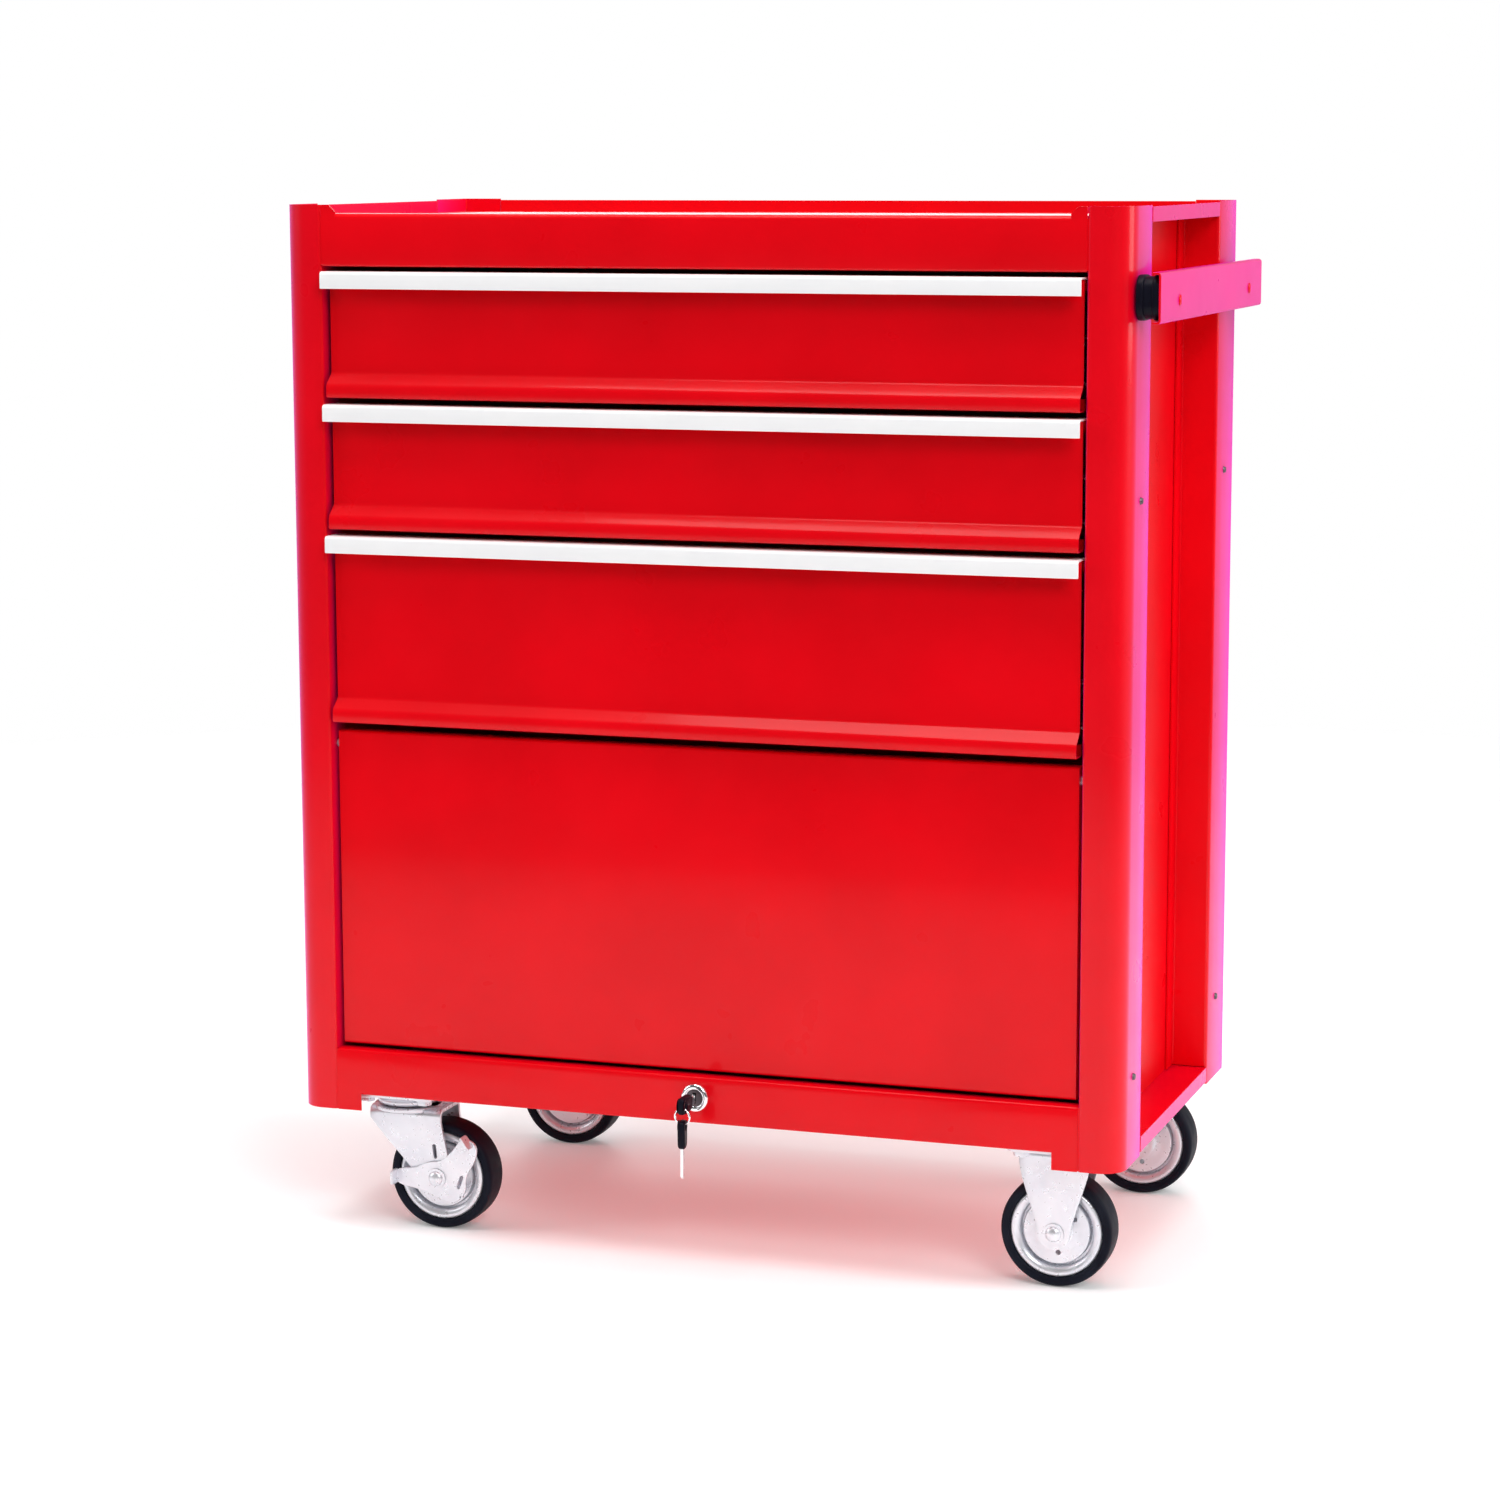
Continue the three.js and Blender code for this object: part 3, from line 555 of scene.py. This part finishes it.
def add_spacers():
    """Moulded blocks with a shallow waist between the handle and the posts."""
    for end in ENDS:
        node = f"handle_spacer_{end}"
        low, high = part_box(node)
        size = high - low
        half_y, half_z = size.y / 2, size.z / 2
        wide = plate(rounded_box(half_y, half_z, 10 * MM), SPACER_FLANGE, edge=1.2 * MM, steps=4)
        narrow = rounded_box(half_y - SPACER_WAIST, half_z - SPACER_WAIST, 9.5 * MM)
        waist = plate(narrow, size.x - 3 * MM, edge=0.4 * MM)
        shift = (size.x - SPACER_FLANGE) / 2
        flanges = [placed(wide, move(x, 0, 0) @ SIDEWAYS) for x in (-shift, shift)]
        block = placed(joined(*flanges, placed(waist, SIDEWAYS)), Matrix.Translation(centre(node)))
        add_piece(f"spacer_{end}", block, PLASTIC, "cabinet", [node])


# ---------- Lock and keys ----------
HEAD_LENGTH, HEAD_HALF, HEAD_THICK = 20.5, 6.3, 5.4  # the keys' sizes are in millimetres
HEAD_HOLE = 4
BLADE_START, BLADE_HALF = 19, 3.1
BLADE_CUTS = (1.2, 2.0, 0.9, 1.6, 1.1)
KEY_TIP = 40
SPARE_TURN = 0.17  # in radians, so that it hangs a little askew


def key_head():
    """A moulded head lying along +X from 0, thick in the middle and rounded all over."""
    waist, tail = 0.75 * HEAD_HALF, 0.62 * HEAD_HALF
    upper = [(0, waist), (3, HEAD_HALF), (HEAD_LENGTH - 4, HEAD_HALF), (HEAD_LENGTH, tail)]
    lower = [(x, -y) for x, y in reversed(upper)]
    hole = [(HEAD_HOLE + 2.3 * a, 3.2 * b) for a, b in circle(0, 0, 1)]
    outline = softened([lower[-1], *upper, *lower[:-1]], 3)
    return plate(scaled(outline), HEAD_THICK * MM, [scaled(hole)], 2.1 * MM, 5)


def key_blade(end):
    """A flat blade with cuts in one edge and a groove in each face, lying along +X."""
    start, top = BLADE_START, BLADE_HALF
    step = (end - start - 4) / len(BLADE_CUTS)
    points = [(start, -top), (end - 2, -top), (end, -0.4), (end - 1.4, 1.6)]
    for i, depth in enumerate(reversed(BLADE_CUTS)):
        x = end - 2.2 - i * step
        points += [(x, top - 0.3), (x - 0.35 * step, top - depth), (x - 0.6 * step, top - depth)]
    points += [(start, top)]
    channel = [(start, -1.2), (end + 1, -1.2), (end + 1, -0.4), (start, -0.4)]
    groove = plate(scaled(channel), 0.5 * MM, edge=0.05 * MM)
    blade = plate(scaled(points), 2 * MM, edge=0.2 * MM)
    return drilled(blade, [placed(groove, move(0, 0, z * MM)) for z in (-1, 1)])


def add_key(node, body, matrix, tip):
    """Both keys are made along +X with the head's front edge at 0 and then placed."""
    add_piece(f"{node}_head", placed(key_head(), matrix), PLASTIC, body, [node])
    add_piece(f"{node}_blade", placed(key_blade(tip), matrix), STEEL, body, [node])


def lock_ring_mesh(depth):
    """A turned collar with a rolled face, and the barrel behind it."""
    collar = [(6.1, 0.9), (6.7, 0.25), (7.6, 0), (8.8, 0.1), (9.7, 0.8), (10.15, 1.8), (10.2, 2.6), (8, 2.7)]
    return revolved(scaled(collar) + [(8 * MM, depth), (6.1 * MM, depth)])


def add_lock():
    """The lock's collar, the key in it, and the spare key on its split ring."""
    low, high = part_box("lock_housing")
    x, _, z = centre("lock_housing")
    ring = placed(lock_ring_mesh(high.y - low.y), move(x, low.y, z))
    add_piece("lock_ring", ring, CHROME, "cabinet", ["lock_housing"])

    into_lock = move(x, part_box("key")[0].y, z) @ SIDEWAYS
    add_key("key", "lock", into_lock, KEY_TIP)
    spare_low, spare_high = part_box("spare_key")
    hang = move(x, centre("key_ring").y, spare_high.z) @ Matrix.Rotation(SPARE_TURN, 4, "Z")
    hang = hang @ Matrix.Rotation(-pi / 2, 4, "X") @ SIDEWAYS
    add_key("spare_key", "spare", hang, (spare_high.z - spare_low.z) / MM)
    add_key_ring()


def add_key_ring():
    """A split ring: flattened wire wound a little over one and a half times."""
    low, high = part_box("key_ring")
    wire, turns, steps, sides = 0.62 * MM, 1.6, 88, 10
    radius = (high.z - low.z) / 2 - 0.75 * MM
    verts, faces = [], []
    for i in range(steps + 1):
        a = 2 * pi * turns * i / steps
        lift = (i / steps - 0.5) * 1.1 * MM
        for k in range(sides):
            b = 2 * pi * k / sides
            r = radius + wire * cos(b)
            verts.append((r * cos(a), lift + 0.7 * wire * sin(b), r * sin(a)))
    for i in range(steps):
        for k in range(sides):
            n = (k + 1) % sides
            faces.append((i * sides + k, i * sides + n, (i + 1) * sides + n, (i + 1) * sides + k))
    faces += [tuple(range(sides)), tuple(range(steps * sides, (steps + 1) * sides))]
    mesh = bpy.data.meshes.new("ring")
    mesh.from_pydata(verts, [], faces)
    ring = placed(outward(mesh), Matrix.Translation(centre("key_ring")))
    add_piece("split_ring", ring, CHROME, "ring", ["key_ring"])


# ---------- Castors ----------
LEG_INNER, LEG_OUTER = 15.6 * MM, 18.1 * MM
LEG_SHEET = LEG_OUTER - LEG_INNER
LEG_MIDDLE = (LEG_INNER + LEG_OUTER) / 2
FORK_BEND = 4 * MM
FORK_WAIST = 0.3  # in radians: where the round end of a leg turns into its straight edges
FORK_COLUMNS, END_ROWS, LEG_ROWS, BEND_ROWS = 10, 10, 14, 6
PLATE_SHEET = 2.8 * MM
HUB_HOLES = (35, 155, 275)  # in degrees
HUB_HOLE_PLACE, HUB_HOLE_RADIUS = 15.6 * MM, 1.9 * MM
BRAKE_SHEET = 2 * MM
SWIVEL_NODES = ("swivel_plate", "swivel_fork", "brake_lever")


def mirrored_profile(half):
    """A closed profile from its +Y half, listed from the inside outwards."""
    half = scaled(half)
    return [(r, -y) for r, y in half] + half[::-1]


def tyre_mesh():
    """A rubber tread with rounded shoulders and a shallow groove beside the rim."""
    side = [(33, 10.6), (33.4, 11.6), (34.4, 12.1), (35, 11.85), (35.6, 12.15), (37, 12.4), (38.3, 12.1)]
    side += [(39.1, 11.3), (39.6, 10), (39.8, 8), (39.9, 4.5), (40, 1)]
    return revolved(mirrored_profile(side), 96)


def disc_mesh():
    """Two pressed steel faces: hub boss, dished web with three holes, a deep groove and a rolled rim."""
    side = [(5.5, 12.5), (8.6, 12.5), (9.4, 12.2), (9.8, 11.4), (10.4, 9.9), (12, 9.3), (17, 9.2)]
    side += [(21.6, 9.2), (23.5, 8.9), (24.1, 7.8), (24.3, 3.2), (25.9, 3.2), (26.1, 8.6), (26.7, 10)]
    side += [(28.6, 10.8), (30, 11.3), (31.4, 11.1), (32.4, 10.4), (32.9, 9.4)]
    reach = 20 * MM
    pin = [(THIN, -reach), (HUB_HOLE_RADIUS, -reach), (HUB_HOLE_RADIUS, reach), (THIN, reach)]
    holes = []
    for turn in HUB_HOLES:
        a = radians(turn)
        spot = move(HUB_HOLE_PLACE * cos(a), 0, HUB_HOLE_PLACE * sin(a))
        holes.append(placed(revolved(pin, 20), spot))
    return drilled(revolved(mirrored_profile(side), 96), holes)


def axle_mesh(front, back):
    """The bolt, with a washer and a riveted round head at each end, from front to back."""
    head = [(0.01, 0), (2.6, 0.3), (4.6, 1.2), (5.6, 2.5), (5.6, 2.7), (7.4, 2.7), (7.5, 3.5), (5, 3.6)]
    near = [(r, front + y) for r, y in scaled(head)]
    far = [(r, back - y) for r, y in scaled(head)]
    return revolved(near + far[::-1], 48)


def fork_stations(left, right, top, end_radius, curve):
    """The fork's sheet from the axle end of a leg up to the middle of the crown: (y, z, left x, right x)."""
    stations = []
    for i in range(END_ROWS + 1):
        a = (0.06 + 0.94 * i / END_ROWS) * (pi / 2 - FORK_WAIST)
        half = end_radius * sin(a)
        stations.append((LEG_MIDDLE, -end_radius * cos(a), -half, half))
    _, z0, x0, x1 = stations[-1]
    shoulder = top - 9 * MM
    for i in range(1, LEG_ROWS + 1):
        s = i / LEG_ROWS
        ease = s * s * (3 - 2 * s) * curve + s * (1 - curve)
        row = (x0 + (left - x0) * ease, x1 + (right - x1) * ease)
        stations.append((LEG_MIDDLE, z0 + (shoulder - z0) * s, *row))
    flat = LEG_MIDDLE - FORK_BEND
    centre_z = top - LEG_SHEET / 2 - FORK_BEND
    stations.append((LEG_MIDDLE, centre_z - 0.5 * MM, left, right))
    for i in range(BEND_ROWS + 1):
        a = pi / 2 * i / BEND_ROWS
        stations.append((flat + FORK_BEND * cos(a), centre_z + FORK_BEND * sin(a), left, right))
    return stations + [(y, centre_z + FORK_BEND, left, right) for y in (flat / 2, 0)]


def fork_mesh(left, right, top, end_radius, curve):
    """Bent sheet fork about the axle: both legs and the crown in one piece, with rounded edges."""
    half = fork_stations(left, right, top, end_radius, curve)
    stations = half + [(-y, z, x0, x1) for y, z, x0, x1 in half[-2::-1]]
    verts, faces = [], []
    for y, z, x0, x1 in stations:
        verts += [(x0 + (x1 - x0) * k / FORK_COLUMNS, y, z) for k in range(FORK_COLUMNS + 1)]
    row = FORK_COLUMNS + 1
    for i in range(len(stations) - 1):
        for k in range(FORK_COLUMNS):
            a = i * row + k
            faces.append((a, a + 1, a + row + 1, a + row))
    mesh = bpy.data.meshes.new("fork")
    mesh.from_pydata(verts, [], faces)
    obj = scratch_object(mesh)
    sheet = obj.modifiers.new("sheet", "SOLIDIFY")
    sheet.thickness = LEG_SHEET
    sheet.offset = 0
    return soft_edges(outward(evaluated_mesh(obj)), 0.45 * MM, 3, 50)


def plate_with_bolts(half, top):
    """The castor's mounting plate with four slots and the bolts that hold it to the base."""
    reach = half - 8.5 * MM
    spots = [(sx * reach, sy * reach) for sx in (-1, 1) for sy in (-1, 1)]
    slots = [slot_loop(x, y, 11 * MM, 7 * MM, 0.5 * pi) for x, y in spots]
    base = plate(rounded_box(half, half, 5 * MM), PLATE_SHEET, slots, 0.4 * MM)
    base = placed(base, move(0, 0, top - PLATE_SHEET / 2))
    bolt = plate(circle(0, 0, 5.6 * MM, 6), 3.6 * MM, edge=0.5 * MM)
    washer = plate(circle(0, 0, 7.2 * MM), 1 * MM, edge=0.2 * MM)
    under = top - PLATE_SHEET
    heads = [placed(bolt, move(x, y, under - 2.7 * MM)) for x, y in spots]
    washers = [placed(washer, move(x, y, under - 0.5 * MM)) for x, y in spots]
    return joined(base, *heads, *washers)


def swivel_head_mesh(crown_top, plate_under):
    """The ball race between the plate and the fork, and the kingpin's riveted end under the crown."""
    gap = (plate_under - crown_top) / MM
    cup = [(0.01, 0.4), (17, 0.4), (19, 0.5), (21.5, 1.3), (22.6, 2.6), (22.9, 4.2), (22.4, 5.6)]
    cup += [(21.2, 6.6), (20.6, 7.6), (20.6, gap), (0.01, gap)]
    pin = [(0.01, -7.4), (3, -7.2), (6.4, -6.2), (8.6, -4.6), (9, -3.4), (5.5, -3.3)]
    pin += [(5.5, 0.4), (0.01, 0.4)]
    head = joined(revolved(scaled(cup), 64), revolved(scaled(pin), 48))
    return placed(head, move(0, 0, crown_top) @ ALONG_Z)


def brake_mesh(reach):
    """A two-armed brake lever: slots in its plate, and a tab bent forward at the end of each arm."""
    outline = [(-33, 5.2), (-16, 6.6), (-7, 12), (5, 13), (15, 24), (19, 30.5), (27, 31), (32.5, 26)]
    outline += [(31.5, 16), (23, 3), (23.5, -8), (17, -16.5), (8, -17.5), (0, -13.5), (-9, -10.5)]
    outline += [(-17, -8.8), (-33, -6)]
    holes = [circle(0, 0, 5.3), slot_loop(18.6, -1.5, 10.5, 2.8, -0.35), circle(19.5, -12.5, 1.6)]
    body = plate(scaled(softened(outline, 2)), BRAKE_SHEET, [scaled(hole) for hole in holes], 0.4 * MM)
    tab = plate(rounded_box(reach / 2, 5.4 * MM, 2.4 * MM), BRAKE_SHEET, edge=0.5 * MM, steps=3)
    tab = placed(tab, SIDEWAYS)
    forward = (BRAKE_SHEET - reach) / 2
    left = placed(tab, move(-32 * MM, forward, -0.4 * MM))
    tilt = Matrix.Rotation(0.95 + pi / 2, 4, "Y")
    right = placed(tab, move(25.6 * MM, forward, 29.6 * MM) @ tilt)
    return joined(placed(body, UPRIGHT), left, right)


def add_wheels(tyre, disc):
    for end in ENDS:
        for side in SIDES:
            name, body = f"{end}_{side}", f"{end}_{side}_wheel"
            middle = centre(f"{name}_tyre")
            spot = Matrix.Translation(middle)
            add_piece(f"{body}_tyre", placed(tyre, spot), RUBBER, body, [f"{name}_tyre"], 50)
            add_piece(f"{body}_disc", placed(disc, spot), ZINC, body, [f"{name}_disc"], 50)
            low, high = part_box(f"{name}_axle")
            bolt = placed(axle_mesh(low.y - middle.y, high.y - middle.y), spot)
            holder = f"{end}_swivel" if side == "left" else "cabinet"
            add_piece(f"{name}_bolt", bolt, ZINC, holder, [f"{name}_axle"])


def add_rigid_castors():
    half_crown, end_radius = 25 * MM, 11.5 * MM
    for end in ENDS:
        node = f"{end}_rigid_fork"
        low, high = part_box(node)
        axle = centre(f"{end}_right_tyre")
        top = high.z - axle.z
        fork = fork_mesh(-half_crown, half_crown, top - PLATE_SHEET, end_radius, 0.6)
        whole = joined(fork, plate_with_bolts((high.x - low.x) / 2, top))
        whole = placed(whole, Matrix.Translation(axle))
        add_piece(f"{end}_rigid_castor", whole, ZINC, "cabinet", [node])


def swivel_fork_mesh(offset, top):
    """A fork that trails behind its kingpin by the offset, with a slot in each leg and a round crown."""
    fork = fork_mesh(-offset - 23 * MM, 3 * MM, top, 13 * MM, 0.1)
    cutter = plate(slot_loop(-2 * MM, 19.5 * MM, 11 * MM, 3 * MM, 0.12), 60 * MM)
    crown = plate(circle(0, 0, 25 * MM, 48), PLATE_SHEET, [circle(0, 0, 5.9 * MM)], 0.5 * MM)
    crown = placed(crown, move(-offset, 0, top - PLATE_SHEET / 2))
    return joined(drilled(fork, [placed(cutter, UPRIGHT)]), crown)


def add_swivel_castors():
    for end in ENDS:
        plate_node, fork_node, brake_node = (f"{end}_{word}" for word in SWIVEL_NODES)
        plate_low, plate_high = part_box(plate_node)
        crown_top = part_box(fork_node)[1].z
        wheel, king = centre(f"{end}_left_tyre"), centre(plate_node)
        plate_under = plate_high.z - PLATE_SHEET
        mount = plate_with_bolts((plate_high.x - plate_low.x) / 2, plate_high.z)
        head = placed(joined(mount, swivel_head_mesh(crown_top, plate_under)), move(king.x, king.y, 0))
        add_piece(f"{end}_swivel_head", head, ZINC, "cabinet", [plate_node])

        fork = swivel_fork_mesh(wheel.x - king.x, crown_top - wheel.z)
        fork = placed(fork, Matrix.Translation(wheel))
        add_piece(f"{end}_swivel_frame", fork, ZINC, f"{end}_swivel", [fork_node])

        lever_low, lever_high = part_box(brake_node)
        lever = brake_mesh(lever_high.y - lever_low.y)
        spot = move(wheel.x, lever_high.y - BRAKE_SHEET / 2, wheel.z)
        add_piece(f"{end}_brake", placed(lever, spot), ZINC, f"{end}_brake", [brake_node])


# ---------- Studio ----------
def add_floor():
    """A pale round floor that fades out towards its rim, so that no horizon shows."""
    mesh = plate(circle(0, 0, FLOOR_RADIUS, 96), 2 * MM)
    mesh.transform(move(0, 0, -1 * MM))
    material, tree, shader = new_material("studio_floor", Roughness=0.7, Emission_Strength=0.16)
    tone = spread(tree, noise(tree, 1.5, 3), 0, 1)
    pale = blend_colours(tree, tone, (0.93, 0.93, 0.93, 1), (0.91, 0.91, 0.915, 1))
    tree.links.new(pale, shader.inputs["Base Color"])
    place = add_node(tree, "ShaderNodeTexCoord")
    distance = add_node(tree, "ShaderNodeVectorMath", operation="LENGTH")
    tree.links.new(place.outputs["Object"], distance.inputs[0])
    near = spread(tree, distance.outputs["Value"], 1, 0, FADE_START, FADE_END)
    tree.links.new(near, shader.inputs["Alpha"])
    mesh.materials.clear()
    mesh.materials.append(material)
    floor = bpy.data.objects.new("floor", mesh)
    bpy.context.scene.collection.objects.link(floor)


def add_area(name, place, target, size, power):
    """A soft rectangular light of the given width and height, aimed at the target."""
    data = bpy.data.lights.new(name, "AREA")
    data.shape = "RECTANGLE"
    data.size, data.size_y = size
    data.energy = power
    light = bpy.data.objects.new(name, data)
    bpy.context.scene.collection.objects.link(light)
    light.location = place
    light.rotation_mode = "QUATERNION"
    light.rotation_quaternion = (Vector(target) - Vector(place)).to_track_quat("-Z", "Y")


def add_world():
    """Dim all round and lighter behind the cabinet; the camera itself sees plain white."""
    world = bpy.data.worlds.new("studio")
    bpy.context.scene.world = world
    world.use_nodes = True
    tree = world.node_tree
    backdrop = tree.nodes["Background"]
    place = add_node(tree, "ShaderNodeTexCoord")
    axes = add_node(tree, "ShaderNodeSeparateXYZ")
    tree.links.new(place.outputs["Generated"], axes.inputs["Vector"])
    level = spread(tree, axes.outputs["Y"], 0.12, 0.55, -0.5, 0.35)
    lights = add_node(tree, "ShaderNodeLightPath")
    seen = add_node(tree, "ShaderNodeMix", data_type="FLOAT")
    tree.links.new(lights.outputs["Is Camera Ray"], seen.inputs[0])
    tree.links.new(level, seen.inputs[2])
    seen.inputs[3].default_value = 1.0
    tree.links.new(seen.outputs[0], backdrop.inputs["Strength"])
    backdrop.inputs["Color"].default_value = (1, 1, 1, 1)


def add_lights():
    add_area("key", (2.3, -2.9, 2.7), (0, 0, 0.35), (1.8, 1.8), 74)
    add_area("fill", (-3.2, -1.6, 1.9), (0, 0, 0.4), (1.6, 2.2), 38)
    add_area("overhead", (0.2, -0.5, 3.0), (0, 0, 0.4), (2.4, 1.6), 60)
    add_area("side", (3.4, 0.6, 1.5), (0.3, 0, 0.4), (1.6, 2.2), 46)
    add_area("back", (-1.2, 3.6, 2.2), (0, 0, 0.4), (2.0, 1.8), 40)


def add_camera():
    data = bpy.data.cameras.new("camera")
    data.sensor_width = SENSOR
    data.lens = LENS
    data.clip_start, data.clip_end = 0.05, 100
    camera = bpy.data.objects.new("camera", data)
    bpy.context.scene.collection.objects.link(camera)
    yaw, pitch, roll = CAMERA_YAW, CAMERA_PITCH, CAMERA_ROLL
    forward = Vector((-sin(yaw) * cos(pitch), cos(yaw) * cos(pitch), sin(pitch)))
    level = Vector((cos(yaw), sin(yaw), 0))
    over = level.cross(forward)
    right = level * cos(roll) + over * sin(roll)
    up = over * cos(roll) - level * sin(roll)
    basis = Matrix((right, up, -forward)).transposed()
    camera.matrix_world = Matrix.Translation(CAMERA_PLACE) @ basis.to_4x4()
    bpy.context.scene.camera = camera


# ---------- Build ----------
dress_cabinet()
add_fixings()
add_seams()
add_beads()
add_spacers()
add_lock()
add_wheels(tyre_mesh(), disc_mesh())
add_rigid_castors()
add_swivel_castors()
add_floor()
add_world()
add_lights()
add_camera()
bpy.context.scene.view_settings.view_transform = "Standard"
